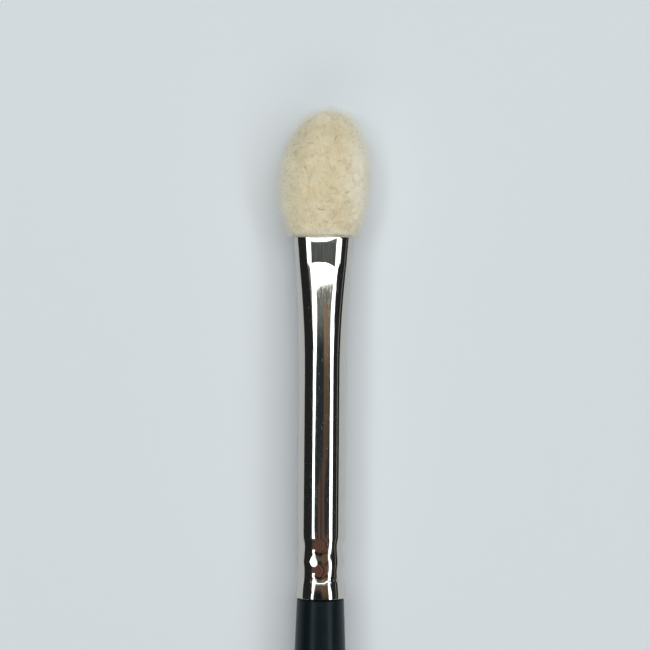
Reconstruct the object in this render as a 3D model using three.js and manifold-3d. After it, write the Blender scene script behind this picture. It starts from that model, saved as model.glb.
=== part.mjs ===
// A sponge applicator for eye make-up. A fleecy sponge tip on a flat inner stem is set in a
// nickel-plated tube, the ferrule, which is pressed flat at its mouth and crimped onto the tenon of a
// turned, black-lacquered wooden handle.
// Millimetres, +Z up. The tool lies on a table, on its tip and on the belly of the handle, with the tip
// towards +Y. The origin is on the table, under the middle of the tool's length.

import * as THREE from "three";
import { mergeVertices } from "three/addons/utils/BufferGeometryUtils.js";
import Module from "manifold-3d";

const wasm = await Module();
wasm.setup();

// Driving sizes. Places along the tool are measured from the rear edge of the ferrule, +Y to the tip.

// Ferrule
const ferruleLength = 39.2;
const ferruleWall = 0.3;
const ferruleFrontDiameter = 5.42; // round part, where the flattening begins
const ferruleRearDiameter = 5.22; // round part, ahead of the crimps
const skirtDiameter = 5.38; // flared rear edge
const crimpCount = 2;
const crimpDepth = 0.3;
const crimpHalfWidth = 1.3;
const firstCrimpPosition = 2.5; // middle of the crimp nearest the handle
const crimpPitch = 2.6;
const mouthWidth = 6.35;
const mouthThickness = 4;
const mouthFlatWidth = 1.6; // level strip that the press leaves on each broad side
const mouthLandLength = 2.7; // parallel part behind the mouth
const flatteningLength = 11.8; // from the land back to the round part

// Handle
const handleLength = 115; // shoulder to tail
const shoulderDiameter = 5.08;
const shoulderTaper = 0.039; // radius gained for each millimetre behind the shoulder
const shoulderSweep = 13; // length over which that taper leads into the belly
const shoulderChamfer = 0.12;
const bellyDiameter = 6.6;
const bellyPosition = 38; // behind the shoulder
const bellySweep = 26; // length over which the belly leads into the rear taper
const tailDiameter = 3.4; // where the rounded end begins
const tailTaper = 0.018; // radius gained for each millimetre ahead of the rounded end
const tailSweep = 32; // length over which that taper leads into the belly
const tailRounding = 1.7;
const tailFlatDiameter = 1.6; // flat left where the turned handle is parted off
const tenonLength = 13;
const tenonChamfer = 0.8;

// Sponge tip: a foam core in a fleece cover
const tipLength = 14; // mouth of the ferrule to the end of the pile
const tipWidth = 9.5;
const tipThickness = 6.6;
const tipWidestPosition = 6.2; // ahead of the mouth
const tipFlatWidth = 2.4; // level strip along each broad side, at the widest place
const tipOverhang = 0.82; // how far the foot of the tip stands out over the mouth, all round
const tipFootRounding = 0.9;
const tipLean = 0.45; // sideways set of the end of the tip
const coverThickness = 0.9;
const hemThickness = 0.35; // cover pressed flat where it is tucked into the mouth
const hemDepth = 2.4;
const coreFootRounding = 0.4;
const neckLength = 6.5; // part of the foam inside the ferrule

// Stem inside the foam, and the resin and glue in the ferrule
const stemWidth = 2.2;
const stemThickness = 0.9;
const stemEmbedLength = 6; // part of the stem inside the resin
const paddleWidth = 3.6;
const paddleLength = 4.5;
const paddleReach = 8.8; // ahead of the mouth
const plugLength = 8;
const glueBeadLength = 0.5; // ahead of the tenon's nose

// Clearances
const bondGap = 0.1; // glue line between pieces that are bonded together
const seatGap = 0.3; // between the foot of the tip and the ferrule's lip

// Facets
const ringPoints = 32;
const crimpSpacing = 0.5; // of the rings over the crimps
const flatteningSteps = 8;
const roundingSteps = 3;
const flankSteps = 3;
const crownSteps = 7;
const curveSteps = 7;

// Places that follow from the sizes
const landStart = ferruleLength - mouthLandLength;
const roundEnd = landStart - flatteningLength;
const crimpEnd = firstCrimpPosition + (crimpCount - 1) * crimpPitch + crimpHalfWidth;
const crimpSteps = Math.ceil(crimpEnd / crimpSpacing);
const shoulderPosition = -bondGap;
const tailPosition = shoulderPosition - handleLength;
const bellyPlace = shoulderPosition - bellyPosition;
const widestPlace = ferruleLength + tipWidestPosition;
const hemPlaces = [ferruleLength - hemDepth, ferruleLength];
const neckEnd = ferruleLength - neckLength;
const plugFront = neckEnd - bondGap;
const plugRear = plugFront - plugLength;
const stemEnd = plugFront - stemEmbedLength;
const paddleEnd = ferruleLength + paddleReach;

// Insets from the outside of the ferrule and of the tip to the pieces within them
const boreInset = ferruleWall + bondGap;
const neckInset = boreInset + hemThickness + bondGap;
const coreInset = coverThickness + bondGap;

const { lerp, mapLinear, clamp } = THREE.MathUtils;

function spaced(from, to, steps) {
  return Array.from({ length: steps + 1 }, (_, i) => lerp(from, to, i / steps));
}

// Radius of the ferrule before it is pressed flat: a slight taper, rolled crimps and a flared skirt.
function roundRadius(y) {
  const taper = mapLinear(y, 0, roundEnd, ferruleRearDiameter, ferruleFrontDiameter) / 2;
  const flareShare = clamp(1 - y / firstCrimpPosition, 0, 1);
  const flare = (flareShare * (skirtDiameter - ferruleRearDiameter)) / 2;
  let crimp = 0;
  for (let i = 0; i < crimpCount; i++) {
    const distance = Math.abs(y - firstCrimpPosition - i * crimpPitch) / crimpHalfWidth;
    if (distance < 1) {
      crimp += (crimpDepth * (1 + Math.cos(Math.PI * distance))) / 2;
    }
  }
  return taper + flare - crimp;
}

// Outer section of the ferrule: round at the rear, level-sided and wider at the mouth. The press bends
// the tube most where its jaws end, so the flattening grows with the square of the way to the land.
function ferruleSection(y) {
  const way = clamp((y - roundEnd) / flatteningLength, 0, 1);
  const press = way * way;
  const radius = roundRadius(Math.min(y, roundEnd));
  return {
    halfWidth: lerp(radius, mouthWidth / 2, press),
    halfThickness: lerp(radius, mouthThickness / 2, press),
    halfFlat: (press * mouthFlatWidth) / 2,
  };
}

// One closed ring across the tool: two level strips joined by half ellipses, moved in by the inset.
// The points stand half a step off the crown, so that each level strip is one whole facet.
function ring(y, section, inset = 0, shift = 0) {
  const roundWidth = section.halfWidth - inset - section.halfFlat;
  const height = section.halfThickness - inset;
  return Array.from({ length: ringPoints }, (_, i) => {
    const angle = ((i + 0.5) / ringPoints) * 2 * Math.PI;
    const x = Math.sign(Math.cos(angle)) * section.halfFlat + Math.cos(angle) * roundWidth;
    return new THREE.Vector3(x + shift, y, Math.sin(angle) * height);
  });
}

const ferruleRing = (y, inset) => ring(y, ferruleSection(y), inset);

// Skin over a row of rings. Two end points close it, and without them it closes on itself as a tube wall.
function loft(rings, ends = null) {
  const vertices = rings.flat();
  const triangles = [];
  const spans = ends ? rings.length - 1 : rings.length;
  for (let j = 0; j < spans; j++) {
    const here = j * ringPoints;
    const there = ((j + 1) % rings.length) * ringPoints;
    for (let i = 0; i < ringPoints; i++) {
      const next = (i + 1) % ringPoints;
      triangles.push(here + i, there + i, there + next);
      triangles.push(here + i, there + next, here + next);
    }
  }
  if (ends) {
    const start = vertices.length;
    const last = start - ringPoints;
    vertices.push(...ends);
    for (let i = 0; i < ringPoints; i++) {
      const next = (i + 1) % ringPoints;
      triangles.push(start, i, next);
      triangles.push(last + i, start + 1, last + next);
    }
  }
  return new THREE.BufferGeometry().setFromPoints(vertices).setIndex(triangles);
}

// Solid turned about the tool's axis. It starts half a step round, so that a level facet lies undermost.
function turned(profile) {
  return new THREE.LatheGeometry(profile, ringPoints, Math.PI / ringPoints);
}

function solidOf(geometry) {
  const bare = geometry.clone();
  bare.deleteAttribute("normal");
  bare.deleteAttribute("uv");
  const merged = mergeVertices(bare);
  const vertProperties = merged.getAttribute("position").array;
  const triVerts = new Uint32Array(merged.index.array);
  return new wasm.Manifold(new wasm.Mesh({ numProp: 3, vertProperties, triVerts }));
}

function cutAway(geometry, cutter) {
  const { vertProperties, triVerts } = solidOf(geometry).subtract(solidOf(cutter)).getMesh();
  const result = new THREE.BufferGeometry();
  result.setAttribute("position", new THREE.BufferAttribute(vertProperties, 3));
  return result.setIndex(new THREE.BufferAttribute(triVerts, 1));
}

const onAxis = (y) => new THREE.Vector3(0, y, 0);

// Half-round lip on the ferrule's wall, from one face of the wall to the other.
function lipRings(edge, outward) {
  const radius = ferruleWall / 2;
  const turns = spaced(0, Math.PI, roundingSteps + 1).slice(1, -1);
  return turns.map((turn) => {
    const y = edge - outward * radius * (1 - Math.sin(turn));
    return ferruleRing(y, radius * (1 - outward * Math.cos(turn)));
  });
}

// Ferrule: one wall, followed up its outside, over the mouth's lip, down its inside and round the rear.
function ferruleGeometry() {
  const lip = ferruleWall / 2;
  const places = [
    ...spaced(lip, crimpEnd, crimpSteps),
    ...spaced(roundEnd, landStart, flatteningSteps),
    ferruleLength - lip,
  ];
  const outside = places.map((y) => ferruleRing(y, 0));
  const inside = places.map((y) => ferruleRing(y, ferruleWall)).reverse();
  return loft([...outside, ...lipRings(ferruleLength, 1), ...inside, ...lipRings(0, -1)]);
}

// The tenon is turned straight, and the crimps press their grooves into it.
function tenonRadius(y) {
  return Math.min(ferruleRearDiameter / 2, roundRadius(y)) - boreInset;
}

// Handle: one turned profile from the flat on its tail to the nose of its tenon.
function handleGeometry() {
  const shoulderRadius = shoulderDiameter / 2;
  const bellyRadius = bellyDiameter / 2;
  const tailRadius = tailDiameter / 2;
  const tailEdge = tailPosition + tailRounding;
  const chamferEdge = shoulderPosition - shoulderChamfer;
  const outline = new THREE.Path();
  outline.moveTo(0, tailPosition);
  outline.lineTo(tailFlatDiameter / 2, tailPosition);
  outline.quadraticCurveTo(tailRadius, tailPosition, tailRadius, tailEdge);
  outline.bezierCurveTo(
    tailRadius + tailTaper * tailSweep,
    tailEdge + tailSweep,
    bellyRadius,
    bellyPlace - bellySweep,
    bellyRadius,
    bellyPlace,
  );
  outline.bezierCurveTo(
    bellyRadius,
    bellyPlace + shoulderSweep,
    shoulderRadius + shoulderTaper * shoulderSweep,
    chamferEdge - shoulderSweep,
    shoulderRadius,
    chamferEdge,
  );
  outline.lineTo(shoulderRadius - shoulderChamfer, shoulderPosition);
  for (const y of spaced(shoulderPosition, crimpEnd, crimpSteps)) {
    outline.lineTo(tenonRadius(y), y);
  }
  outline.lineTo(tenonRadius(tenonLength), tenonLength - tenonChamfer);
  outline.lineTo(tenonRadius(tenonLength) - tenonChamfer, tenonLength);
  outline.lineTo(0, tenonLength);
  return turned(outline.getPoints(curveSteps));
}

// Glue that the tenon pushed ahead of itself: a ring in the corner between its chamfer and the ferrule.
function glueBeadGeometry() {
  const rear = tenonLength - tenonChamfer + 2 * bondGap;
  const outerRadius = roundRadius(rear) - boreInset;
  const innerRadius = tenonRadius(tenonLength) - tenonChamfer + bondGap;
  const outline = new THREE.Path();
  outline.moveTo(outerRadius, rear);
  outline.lineTo(outerRadius, tenonLength + glueBeadLength);
  outline.quadraticCurveTo(outerRadius, tenonLength + bondGap, innerRadius, tenonLength + bondGap);
  outline.lineTo(outerRadius, rear);
  return turned(outline.getPoints(roundingSteps));
}

// The soft tip leans a little to one side, more so towards its end.
function leanAt(y) {
  const share = (y - ferruleLength) / tipLength;
  return tipLean * share * share;
}

// Rings over the tip's shape, moved in by the inset, from the underside of its foot to near its end:
// a rounded foot, flanks that swell to the widest place, and an elliptic crown.
function tipRings(inset, footRounding) {
  const foot = ferruleLength + seatGap + inset;
  const end = ferruleLength + tipLength - inset;
  const wide = { x: tipWidth / 2 - inset, z: tipThickness / 2 - inset };
  const narrow = { x: mouthWidth / 2 + tipOverhang - inset, z: mouthThickness / 2 + tipOverhang - inset };
  const flank = (y, tuck) => {
    const way = (widestPlace - y) / (widestPlace - foot);
    const section = {
      halfWidth: lerp(wide.x, narrow.x, way * way),
      halfThickness: lerp(wide.z, narrow.z, way * way),
      halfFlat: tipFlatWidth / 2,
    };
    return ring(y, section, tuck, leanAt(y));
  };
  const crown = (turn) => {
    const y = lerp(widestPlace, end, Math.sin(turn));
    const section = {
      halfWidth: wide.x * Math.cos(turn),
      halfThickness: wide.z * Math.cos(turn),
      halfFlat: (tipFlatWidth / 2) * Math.cos(turn),
    };
    return ring(y, section, 0, leanAt(y));
  };
  const footTurns = spaced(0, Math.PI / 2, roundingSteps);
  const footRings = footTurns.map((turn) =>
    flank(foot + footRounding * (1 - Math.cos(turn)), footRounding * (1 - Math.sin(turn))),
  );
  const flankPlaces = spaced(foot + footRounding, widestPlace, flankSteps).slice(1, -1);
  const crownTurns = spaced(0, Math.PI / 2, crownSteps).slice(0, -1);
  return [...footRings, ...flankPlaces.map((y) => flank(y, 0)), ...crownTurns.map(crown)];
}

function tipEnd(inset) {
  const y = ferruleLength + tipLength - inset;
  return new THREE.Vector3(leanAt(y), y, 0);
}

// Cover: a fleece sock over the foam, with its hem tucked into the ferrule's mouth.
function coverGeometry() {
  const hemInset = boreInset + hemThickness;
  const rings = [
    ...tipRings(coverThickness, coreFootRounding).reverse(),
    ferruleRing(ferruleLength + seatGap + coverThickness, hemInset),
    ...hemPlaces.map((y) => ferruleRing(y, hemInset)).reverse(),
    ...hemPlaces.map((y) => ferruleRing(y, boreInset)),
    ferruleRing(ferruleLength + seatGap, boreInset),
    ...tipRings(0, tipFootRounding),
  ];
  return loft(rings, [tipEnd(coverThickness), tipEnd(0)]);
}

// Stem: a flat tongue with a wider paddle at its front end. The margin makes the slot that it sits in.
function stemGeometry(margin) {
  const half = stemWidth / 2 + margin;
  const paddleHalf = paddleWidth / 2 + margin;
  const rear = stemEnd - margin;
  const front = paddleEnd + margin;
  const paddleRear = paddleEnd - paddleLength - margin;
  const blend = paddleHalf - half;
  const outline = new THREE.Shape();
  outline.moveTo(-half, rear);
  outline.lineTo(half, rear);
  outline.lineTo(half, paddleRear - blend);
  outline.lineTo(paddleHalf, paddleRear);
  outline.lineTo(paddleHalf, front - paddleHalf);
  outline.absarc(0, front - paddleHalf, paddleHalf, 0, Math.PI);
  outline.lineTo(-paddleHalf, paddleRear);
  outline.lineTo(-half, paddleRear - blend);
  const depth = stemThickness + 2 * margin;
  const geometry = new THREE.ExtrudeGeometry(outline, { depth, bevelEnabled: false, curveSegments: curveSteps });
  return geometry.translate(0, 0, -depth / 2);
}

// Foam core: the tip's shape inside the cover, and a neck down into the ferrule.
function coreGeometry() {
  const foot = ferruleLength + seatGap + coreInset;
  const neckRings = [neckEnd, ...hemPlaces, foot].map((y) => ferruleRing(y, neckInset));
  const rings = [...neckRings, ...tipRings(coreInset, coreFootRounding)];
  return cutAway(loft(rings, [onAxis(neckEnd), tipEnd(coreInset)]), stemGeometry(bondGap));
}

// Resin cast in the ferrule behind the foam, round the stem.
function plugGeometry() {
  const rings = spaced(plugRear, plugFront, flatteningSteps).map((y) => ferruleRing(y, boreInset));
  return cutAway(loft(rings, [onAxis(plugRear), onAxis(plugFront)]), stemGeometry(bondGap));
}

function piece(name, geometry, color, roughness, metalness = 0) {
  geometry.computeVertexNormals();
  const mesh = new THREE.Mesh(geometry, new THREE.MeshStandardMaterial({ color, roughness, metalness }));
  mesh.name = name;
  return mesh;
}

const tool = new THREE.Group();
tool.add(piece("handle", handleGeometry(), 0x1b2024, 0.5));
tool.add(piece("ferrule", ferruleGeometry(), 0xb8b5ad, 0.12, 1));
tool.add(piece("tenon_glue", glueBeadGeometry(), 0xd8c48c, 0.3));
tool.add(piece("adhesive_plug", plugGeometry(), 0xd9d0b0, 0.25));
tool.add(piece("core_stem", stemGeometry(0), 0xe6e4dc, 0.4));
tool.add(piece("sponge_core", coreGeometry(), 0xe2d6b2, 0.95));
tool.add(piece("pile_cover", coverGeometry(), 0xcec4a4, 1));

// The tool lies on its tip and its belly, so it tilts where they differ in thickness.
tool.rotation.x = Math.atan2((tipThickness - bellyDiameter) / 2, widestPlace - bellyPlace);
const box = new THREE.Box3().setFromObject(tool, true);
const middle = box.getCenter(new THREE.Vector3());
tool.position.set(-middle.x, -middle.y, -box.min.z);

const applicator = new THREE.Group();
applicator.name = "sponge_applicator";
applicator.add(tool);

export default applicator;
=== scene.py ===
import math

import bpy
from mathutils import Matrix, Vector, noise


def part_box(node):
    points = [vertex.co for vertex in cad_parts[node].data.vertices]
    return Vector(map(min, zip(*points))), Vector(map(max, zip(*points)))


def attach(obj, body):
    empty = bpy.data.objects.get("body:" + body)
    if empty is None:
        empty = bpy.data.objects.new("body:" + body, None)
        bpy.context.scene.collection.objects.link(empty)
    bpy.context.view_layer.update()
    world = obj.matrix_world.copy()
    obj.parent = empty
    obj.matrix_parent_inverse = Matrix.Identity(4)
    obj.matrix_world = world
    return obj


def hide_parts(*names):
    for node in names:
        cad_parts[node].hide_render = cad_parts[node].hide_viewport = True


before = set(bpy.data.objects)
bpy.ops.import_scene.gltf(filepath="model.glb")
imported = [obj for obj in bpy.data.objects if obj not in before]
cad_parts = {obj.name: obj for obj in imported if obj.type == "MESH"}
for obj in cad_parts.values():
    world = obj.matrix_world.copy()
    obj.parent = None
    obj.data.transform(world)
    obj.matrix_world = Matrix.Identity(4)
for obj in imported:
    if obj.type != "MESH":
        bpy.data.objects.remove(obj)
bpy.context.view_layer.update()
mm = 0.001

# The tool's own axes: millimetres, y along the tool from the rear edge of the ferrule, x across, z up.
ferruleLow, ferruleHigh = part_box("ferrule")
axisX = (ferruleLow.x + ferruleHigh.x) / 2
axisZ = (ferruleLow.z + ferruleHigh.z) / 2
rearY = ferruleLow.y


def inFrame(x, y, z):
    return Vector((axisX + x * mm, rearY + y * mm, axisZ + z * mm))


def lerp(a, b, share):
    return a + (b - a) * share


def clamp(value):
    return min(max(value, 0.0), 1.0)


def spaced(start, end, steps):
    return [lerp(start, end, i / steps) for i in range(steps + 1)]


def pick(sockets, key):
    if isinstance(key, int):
        return sockets[key]
    return next(s for s in sockets if s.enabled and key in (s.name, s.identifier))


class Wire:  # one output in a node tree, with the sums that fields and shaders need
    def __init__(self, graph, socket):
        self.graph = graph
        self.socket = socket

    def out(self, key):
        return Wire(self.graph, pick(self.socket.node.outputs, key))

    def maths(self, operation, first, second):
        return self.graph.add("ShaderNodeMath", {"operation": operation}, {0: first, 1: second})

    def __add__(self, other):
        return self.maths("ADD", self, other)

    def __radd__(self, other):
        return self.maths("ADD", other, self)

    def __sub__(self, other):
        return self.maths("SUBTRACT", self, other)

    def __rsub__(self, other):
        return self.maths("SUBTRACT", other, self)

    def __mul__(self, other):
        return self.maths("MULTIPLY", self, other)

    def __rmul__(self, other):
        return self.maths("MULTIPLY", other, self)

    def __truediv__(self, other):
        return self.maths("DIVIDE", self, other)

    def __rtruediv__(self, other):
        return self.maths("DIVIDE", other, self)


class Graph:
    def __init__(self, tree):
        self.tree = tree

    def add(self, kind, settings=None, sockets=None, out=0):
        node = self.tree.nodes.new(kind)
        for name, value in (settings or {}).items():
            if name == "stops":
                self.fillRamp(node.color_ramp, value)
            else:
                setattr(node, name, value)
        for key, value in (sockets or {}).items():
            socket = pick(node.inputs, key)
            if isinstance(value, Wire):
                self.tree.links.new(value.socket, socket)
            else:
                socket.default_value = value
        return Wire(self, pick(node.outputs, out)) if len(node.outputs) else None

    def fillRamp(self, ramp, stops):
        for element, (place, level) in zip(ramp.elements, stops):
            element.position = place
            element.color = (level, level, level, 1)

    # shader helpers
    def toolPlace(self):  # millimetres across the tool, and along it from the ferrule's rear edge
        place = self.add("ShaderNodeTexCoord", out="Object")
        across = self.add("ShaderNodeSeparateXYZ", {}, {0: place}, out="X")
        return (across - axisX) / mm, (across.out("Y") - rearY) / mm

    def stretched(self, scale, turn):
        place = self.add("ShaderNodeTexCoord", out="Object")
        if turn:
            place = self.add("ShaderNodeMapping", {}, {"Vector": place, "Rotation": (0, 0, turn)})
        return self.add("ShaderNodeMapping", {}, {"Vector": place, "Scale": scale})

    def grain(self, scale, detail=2.0, roughness=0.5, turn=0.0):  # noise with scale cells to the metre
        return self.add("ShaderNodeTexNoise", {}, {
            "Vector": self.stretched(scale, turn), "Scale": 1.0, "Detail": detail, "Roughness": roughness})

    def ramp(self, value, start, end, least=0.0):  # from least at start to 1 at end
        return self.add("ShaderNodeValToRGB", {"stops": ((start, least), (end, 1.0))}, {"Fac": value})

    def ease(self, value, start, end):  # 0 to 1 from start to end, without corners
        return self.add("ShaderNodeMapRange", {"interpolation_type": "SMOOTHSTEP"}, {
            "Value": value, "From Min": start, "From Max": end})

    def window(self, value, start, full, fade, end):  # 1 from full to fade, 0 before start and past end
        return self.ease(value, start, full) * self.ease(value, end, fade)

    def near(self, value, inner, outer):  # 1 up to inner on both sides of 0, and 0 past outer
        return self.ease(value * value, outer ** 2, inner ** 2)

    def blend(self, share, first, second):
        return self.add("ShaderNodeMix", {"data_type": "RGBA"}, {
            "Factor_Float": share, "A_Color": first, "B_Color": second}, out="Result_Color")

    def bump(self, height, distance):
        return self.add("ShaderNodeBump", {}, {"Height": height, "Distance": distance, "Strength": 1.0})


def newFinish(name, build):
    material = bpy.data.materials.new(name)
    material.use_nodes = True
    material.node_tree.nodes.clear()
    graph = Graph(material.node_tree)
    graph.add("ShaderNodeOutputMaterial", {}, {"Surface": build(graph)})
    return material


def newPiece(name, mesh, material=None):
    piece = bpy.data.objects.new(name, mesh)
    bpy.context.scene.collection.objects.link(piece)
    if material:
        mesh.materials.clear()
        mesh.materials.append(material)
    return piece


# skin over rows of points: end points close it, and with no ends it closes on itself
def skinned(name, rings, ends=None):
    count = len(rings[0])
    points = [p for ring in rings for p in ring]
    last = len(points) - count
    faces = []
    for j in range(len(rings) - (1 if ends else 0)):
        here = j * count
        there = (j + 1) % len(rings) * count
        for i in range(count):
            k = (i + 1) % count
            faces.append((here + i, there + i, there + k, here + k))
    start, end = ends or (None, None)
    if start:
        faces += [(len(points), i, (i + 1) % count) for i in range(count)]
        points.append(start)
    if end:
        faces += [(last + i, len(points), last + (i + 1) % count) for i in range(count)]
        points.append(end)
    mesh = bpy.data.meshes.new(name)
    mesh.from_pydata(points, [], faces)
    mesh.shade_smooth()
    return mesh


def newTree(name, inputs):
    tree = bpy.data.node_groups.new(name, "GeometryNodeTree")
    kinds = {float: "NodeSocketFloat", int: "NodeSocketInt", bpy.types.Mesh: "NodeSocketGeometry"}
    for label, kind in inputs.items():
        tree.interface.new_socket(label, in_out="INPUT", socket_type=kinds[kind])
    tree.interface.new_socket("Geometry", in_out="OUTPUT", socket_type="NodeSocketGeometry")
    return tree


def pieceFromTree(name, tree, values, base):
    piece = newPiece(name, base)
    modifier = piece.modifiers.new("maker", "NODES")
    modifier.node_group = tree
    for item in tree.interface.items_tree:
        if item.in_out == "INPUT" and item.name in values:
            modifier[item.identifier] = values[item.name]
    shown = piece.evaluated_get(bpy.context.evaluated_depsgraph_get())
    mesh = bpy.data.meshes.new_from_object(shown)
    piece.modifiers.clear()
    piece.data = mesh
    mesh.name = name
    return piece


# ferrule shape, used by the tube and by what sits in its mouth
ferruleForm = {
    "length": 39.2,
    "wall": 0.3,
    "edgeRounding": 0.05,
    "radius": 2.66,
    # rear end, as place, radius and slope: skirt, crease, groove, bead, groove, tube
    "stations": ((0, 2.735, -0.05), (1.71, 2.561, -0.155), (1.77, 2.546, -0.34), (1.83, 2.531, -0.155),
                 (2.48, 2.481, 0), (3.75, 2.575, 0), (5.08, 2.465, 0), (6.6, 2.66, 0)),
    "creaseBow": (0.3, 0.2),  # of the rolled end: per width squared, and at most
    "beadDent": (4.0, 0.95, 2.649, 0.3, -0.05),  # flat on the bead: place, reach, height, tilt, fall
    "flattening": 11.8,
    "flare": 1.75,  # power by which it widens, up to the mouth
    "mouthWidth": 6.5,
    "mouthThickness": 3.9,
    "mouthFlat": 0.56,
    "landLength": 2.75,
    "landEdge": (-0.02, -0.174, -0.257),  # uneven, as the press met the tube: middle, slant and bow
    "landEdgeLimit": -0.5,
    "landRounding": 0.42,  # of the tube into that edge
    "landFall": 0.034,  # per length
    "landFacet": (1.84, 0.004),  # height and tilt of the flat that the press left
    "landRamp": 0.25,  # slope of the press behind that flat
    "lipLength": 0.62,
    "lipEdge": (1, -0.257, -0.287),  # share of that length: middle, slant and bow
    "lipEdgeLimit": 0.25,
    "lipDraw": 0.16,  # how far the lip is drawn in, per length
    "ringPoints": 192,
    "edgeSteps": 4,
    "pressRings": (34, 35.3, 36.8),  # places about the land's edge, with closer rings between them
    "outerSteps": (160, 30, 50, 20, 60, 40),  # crimps, round run, flattening to those places, lip
    "innerSteps": (40, 10, 40),  # crimps, round run, flattening
    "sharpAngle": math.radians(5),
}
mouthY = ferruleForm["length"]
roundEnd = mouthY - ferruleForm["landLength"] - ferruleForm["flattening"]


def uneven(edge, across):
    middle, slant, bow = edge
    return middle + slant * across + bow * across * across


def roundRadius(y):
    stations = ferruleForm["stations"]
    for (startY, start, startSlope), (endY, end, endSlope) in zip(stations, stations[1:]):
        if y < endY:
            span = endY - startY
            way = clamp((y - startY) / span)
            ease = way * way * (3 - 2 * way)
            lift = way * (1 - way) * span * (startSlope * (1 - way) - endSlope * way)
            return lerp(start, end, ease) + lift
    return ferruleForm["radius"]


def landEdgeAt(across):
    f = ferruleForm
    return mouthY - f["landLength"] + max(uneven(f["landEdge"], across), f["landEdgeLimit"])


def pressedTo(y, across):  # place up to which the press flattens the tube
    edge = landEdgeAt(across)
    rounding = ferruleForm["landRounding"]
    return min(y, edge) - rounding / 4 * max(1 - abs(y - edge) / rounding, 0) ** 2


def lipSink(y, across):  # how far the lip is drawn in
    f = ferruleForm
    lip = f["lipLength"] * max(uneven(f["lipEdge"], across), f["lipEdgeLimit"])
    return f["lipDraw"] * lip * clamp((y - mouthY + lip) / lip) ** 2


def ferruleSection(y, across=0.0):  # half its width, half its thickness, and half the flat between
    f = ferruleForm
    spread = clamp((y - roundEnd) / (mouthY - roundEnd)) ** f["flare"]
    pressed = pressedTo(y, across)
    press = clamp((pressed - roundEnd) / f["flattening"]) ** 2
    bow, bowLimit = f["creaseBow"]
    radius = roundRadius(y - min(bow * across * across, bowLimit))
    halfWidth = lerp(radius, f["mouthWidth"] / 2, spread)
    halfThickness = lerp(radius, f["mouthThickness"] / 2, press)
    halfThickness = halfThickness - f["landFall"] * (y - pressed) - lipSink(y, across)
    return halfWidth, halfThickness, spread * f["mouthFlat"] / 2


def ferruleRing(y, inset=0.0):
    f = ferruleForm
    count = f["ringPoints"]
    widest = ferruleSection(y)[0]
    facetHeight, facetTilt = f["landFacet"]
    dentPlace, dentReach, dentHeight, dentTilt, dentFall = f["beadDent"]
    ring = []
    for i in range(count):
        turn = (i + 0.5) / count * 2 * math.pi
        across = math.cos(turn) * widest
        halfWidth, halfThickness, halfFlat = ferruleSection(y, across)
        x = math.copysign(halfFlat, across) + math.cos(turn) * (halfWidth - inset - halfFlat)
        z = abs(math.sin(turn)) * (halfThickness - inset)
        ramp = f["landRamp"] * max(landEdgeAt(across) - y, 0) - f["landFall"] * (y - landEdgeAt(0))
        z = min(z, facetHeight + facetTilt * x + ramp - lipSink(y, across) - inset)
        if abs(y - dentPlace) < dentReach and turn < math.pi:
            z = min(z, dentHeight + dentTilt * x + dentFall * (y - dentPlace) - inset)
        ring.append(inFrame(x, y, math.copysign(z, math.sin(turn))))
    return ring


# camera, straight above the tool
cameraLook = {
    "imageSide": 650,  # pixels
    "pixel": 0.109 * mm,  # size of one at the height of the tool's axis
    "height": 238 * mm,  # lens above that axis
    "mouthPixel": (323.25, 237.4),  # middle of the ferrule's mouth
    "roll": math.radians(0.45),
    "clipStart": 0.01,
}


def addCamera():
    c = cameraLook
    half = c["imageSide"] / 2
    data = bpy.data.cameras.new("camera")
    data.angle = 2 * math.atan(half * c["pixel"] / c["height"])
    data.clip_start = c["clipStart"]
    camera = bpy.data.objects.new("camera", data)
    bpy.context.scene.collection.objects.link(camera)
    right = Vector((math.cos(c["roll"]), math.sin(c["roll"]), 0))
    up = Vector((-math.sin(c["roll"]), math.cos(c["roll"]), 0))
    pixelX, pixelY = c["mouthPixel"]
    camera.location = inFrame(0, mouthY, 0) + c["pixel"] * ((half - pixelX) * right - (half - pixelY) * up)
    camera.location.z += c["height"]
    camera.rotation_euler = (0, 0, c["roll"])
    bpy.context.scene.camera = camera
    return camera


camera = addCamera()
print("camera at", [round(v, 4) for v in camera.location])

# floor, ceiling lamps, and the glowing surfaces of painted light that the bright tube mirrors between them
floorLook = {
    "color": (0.72, 0.783, 0.818, 1),
    "dull": (0.702, 0.763425, 0.80164, 1),
    "cloudScale": (9, 9, 9),
    "roughness": 0.85,
    "radii": (0.06, 0.2, 0.6, 1.4, 3.0),
    "sides": 96,
}
lampHeight = 2.0  # above the tool
lampBlue = (0.93, 1.0, 1.08)
lampWhite = (1.02, 1.0, 0.97)
lampLook = {
    # each runs between two places on the ceiling, as slopes from the upright: across the tool, along it
    "leftLower": {"from": (-0.765, -0.30), "to": (-0.775, 0.02), "width": 0.28,
                  "radiance": 3.6, "color": lampBlue},
    "leftUpper": {"from": (-0.79, -0.02), "to": (-0.46, 0.26), "width": 0.29,
                  "radiance": 3.6, "color": lampBlue},
    "rightLower": {"from": (1.36, -0.90), "to": (1.05, 0.02), "width": 0.50,
                   "radiance": 3.6, "color": lampBlue},
    "rightUpper": {"from": (1.06, -0.02), "to": (0.71, 0.25), "width": 0.30,
                   "radiance": 3.2, "color": lampBlue},
    "frontLeft": {"from": (-0.33, 0.192), "to": (-0.366, 0.791), "width": 0.86,
                  "radiance": 3.05, "color": lampWhite},
    "frontRight": {"from": (0.52, 0.206), "to": (0.529, 0.806), "width": 0.96,
                   "radiance": 3.45, "color": lampWhite},
    "rearPanel": {"from": (0.2, -1.2), "to": (0.2, -2.6), "width": 2.2,
                  "radiance": 1.9, "color": lampWhite},
}
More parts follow.
